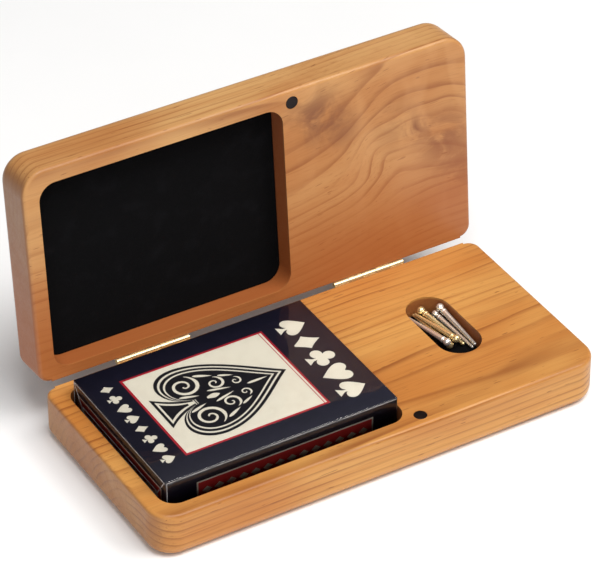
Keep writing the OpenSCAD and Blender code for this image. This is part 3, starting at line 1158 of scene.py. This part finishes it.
@dataclass
class TurnedPeg:
    """A turned peg: ball head, neck groove, collar with soft edges, tapered shaft, round tip."""

    node: str
    body: str
    slot: str
    ball: float = 1.5 * MM
    neck: float = 0.84 * MM
    collar: float = 1.2 * MM
    shaft: float = 1.05 * MM
    tip: float = 0.6 * MM
    soft: float = 0.16 * MM
    collar_span: tuple = (1.9 * MM, 2.8 * MM)
    sides: int = 48

    def axis(self) -> tuple[Vector, Vector, float]:
        """The peg's ball centre, direction and length from there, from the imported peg's points.

        The long direction is the points' first principal axis, and the ball is at the end
        where they lie further from it.
        """
        points = node_points(self.node)
        middle, axes = main_axes(points)
        along = (points - middle) @ axes[0]
        away = np.linalg.norm(points - middle - np.outer(along, axes[0]), axis=1)
        ends = (away[along < along.min() + self.ball].max(),
                away[along > along.max() - self.ball].max())
        direction = axes[0] if ends[0] > ends[1] else -axes[0]
        along = (points - middle) @ direction
        head = points[along < along.min() + 1.9 * self.ball]
        centre = (head.max(axis=0) + head.min(axis=0)) / 2
        start = middle + direction * (along.min() + self.ball)
        on_axis = centre - direction * ((centre - start) @ direction)
        return Vector(on_axis), Vector(direction), np.ptp(along) - self.ball

    def profile(self, length: float) -> Array:
        """Radii and heights from the ball's pole to the tip, each round a true arc."""
        neck_angle = math.degrees(math.asin(self.neck / self.ball))
        ball = arc((0, 0), self.ball, -90, 90 - neck_angle, 22)
        ball[0, 0] = 0.0
        low, high = self.collar_span
        soft, part = self.soft, self.soft * 0.3
        collar = np.array([(self.neck, low - 0.04 * MM), (self.collar - soft, low),
                           (self.collar - part, low + part), (self.collar, low + soft),
                           (self.collar, high - soft), (self.collar - part, high - part),
                           (self.collar - soft, high), (self.shaft, high + 0.05 * MM)])
        end = length - self.tip
        shaft = np.linspace((self.shaft, high), (self.tip, end), 12)[1:]
        tip = arc((0, end), self.tip, 8, 90, 8)
        tip[-1, 0] = 0.0
        return np.vstack([ball, collar, shaft, tip])

    def build(self, material: Material) -> Piece:
        """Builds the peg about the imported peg's axis."""
        centre, direction, length = self.axis()
        points, faces = lathe(self.profile(length), self.sides)
        points = place(points, standing(centre, direction))
        piece = new_piece(f"{self.node}_turned", points, faces)
        return finish_piece(outward(piece), self.body, material, (self.node,))


# ---------------- stage


@dataclass(frozen=True)
class Lamp:
    """A square soft box that looks at a point."""

    name: str
    place: tuple
    side: float
    power: float
    colour: Colour = (1.0, 1.0, 1.0)


@dataclass(frozen=True)
class Studio:
    """Pale floor, soft light and the camera."""

    camera_place: tuple = (-0.5261, -0.8696, 0.8010)
    azimuth: float = -30.7
    elevation: float = 36.27
    lens: float = 218.95
    sensor: float = 36.0
    floor_half: float = 4.0
    surround: float = 0.17
    lamps: tuple = (Lamp("key", (0.62, -0.55, 1.20), 0.8, 13.0, (1.0, 0.985, 0.96)),
                    Lamp("fill", (-0.9, -1.1, 0.8), 1.0, 6.4, (0.97, 0.985, 1.0)),
                    Lamp("top", (-0.10, -0.42, 1.45), 0.7, 12.4))

    def floor(self) -> None:
        """Lays a pale floor with a faint mottle under the case."""
        h = self.floor_half
        points = np.array([(-h, -h, 0), (h, -h, 0), (h, h, 0), (-h, h, 0)], float)
        piece = new_piece("floor", points, [[0, 1, 2, 3]], smooth=False)
        g = Graph("pale_floor")
        mottle = g.noise(g.place(), 30.0, 2.0)
        tone = g.mix(mottle, (0.95, 0.95, 0.95), (0.97, 0.97, 0.97))
        piece.data.materials.append(g.coat(tone, 0.9))

    def hung(self, name: str, data: bpy.types.ID, spot: tuple, turn: tuple) -> Piece:
        """A lamp or camera hung at a spot and turned, in the scene."""
        holder = bpy.data.objects.new(name, data)
        holder.location, holder.rotation_euler = spot, turn
        bpy.context.scene.collection.objects.link(holder)
        return holder

    def light(self) -> None:
        """Hangs the soft boxes and sets an even white surround."""
        for lamp in self.lamps:
            data = bpy.data.lights.new(lamp.name, "AREA")
            data.size, data.energy, data.color = lamp.side, lamp.power, lamp.colour
            turn = (-Vector(lamp.place)).to_track_quat("-Z", "Y").to_euler()
            self.hung(lamp.name, data, lamp.place, turn)
        world = bpy.data.worlds.new("surround")
        world.use_nodes = True
        sky = world.node_tree.nodes["Background"]
        sky.inputs[0].default_value = (1.0, 1.0, 1.0, 1.0)
        sky.inputs[1].default_value = self.surround
        bpy.context.scene.world = world

    def camera(self) -> None:
        """Sets the camera from its place, azimuth and elevation."""
        data = bpy.data.cameras.new("camera")
        data.sensor_width, data.lens = self.sensor, self.lens
        data.clip_start, data.clip_end = 0.05, 50.0
        turn = (math.radians(90 - self.elevation), 0.0, math.radians(self.azimuth))
        bpy.context.scene.camera = self.hung("camera", data, self.camera_place, turn)

    def build(self) -> None:
        """Builds the whole stage."""
        self.floor()
        self.light()
        self.camera()
        bpy.context.scene.view_settings.view_transform = "Standard"


# ---------------- the whole case


def main() -> None:
    """Builds the stage, then each sub-assembly in order."""
    logging.basicConfig(level=logging.INFO, format="%(message)s")
    Studio().build()
    WoodenCase().dress()
    base_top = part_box("base_block")[1].z
    base_frame = Matrix.Translation((0, 0, -base_top))
    lid_frame = base_frame @ closing_turn()
    felt = Felt().material()
    FeltLining("base_card_felt", "base", base_frame, up=1).build(felt)
    FeltLining("lid_card_felt", "lid", lid_frame, up=-1).build(felt)
    FeltLining("peg_slot_felt", "base", base_frame, up=1, corner=20 * MM).build(felt)
    magnet = Metal("dark_magnet", (0.030, 0.026, 0.027), (0.016, 0.014, 0.015), 0.40).material()
    MagnetDisc("base_magnet", "base").build(magnet)
    MagnetDisc("lid_magnet", "lid").build(magnet)
    plate = Metal("bright_brass", (0.86, 0.71, 0.42), (0.68, 0.51, 0.25), 0.30, 0.85)
    pin = Metal("dull_brass", (0.80, 0.62, 0.30), (0.50, 0.34, 0.14), 0.30)
    StopHinges().dress(plate.material(), pin.material())
    Deck(navy=Ink("navy_board", (0.0085, 0.0078, 0.020), (0.014, 0.012, 0.030)).material(),
         cream=Ink("cream_ink", (0.82, 0.77, 0.65), (0.76, 0.70, 0.58)).material(),
         red=Ink("red_ink", (0.47, 0.016, 0.034), (0.38, 0.012, 0.026)).material(),
         black=Ink("black_ink", (0.010, 0.009, 0.013), (0.018, 0.016, 0.022)).material(),
         # painted light: a brighter copy of the red ink, standing in for light the pocket's shade
         # takes away
         label=Ink("label_red_brightened", (0.70, 0.050, 0.045), (0.60, 0.038, 0.036)).material(),
         board=Ink("card_edges", (0.80, 0.77, 0.70), (0.70, 0.66, 0.58)).material(),
         film=ClearFilm().material(),
         crease_and_highlight=ClearFilm("overwrap_creases_and_highlights", haze=0.62).material()).build()
    satin = {"roughness": 0.17, "wear": 0.025}
    brass = Metal("satin_brass", (0.96, 0.76, 0.40), (0.80, 0.56, 0.24), metallic=0.76, **satin)
    nickel = Metal("satin_nickel", (0.96, 0.91, 0.84), (0.80, 0.74, 0.66), metallic=0.74, **satin)
    metals = {"brass": brass.material(), "nickel": nickel.material()}
    for i, body in enumerate(("brass_peg_low", "nickel_peg_low", "nickel_peg_left",
                              "brass_peg_front", "brass_peg_back", "nickel_peg_right"), start=1):
        metal = body.split("_")[0]
        TurnedPeg(f"peg_{i}", body, f"peg_{metal}").build(metals[metal])


if __name__ == "__main__":
    main()
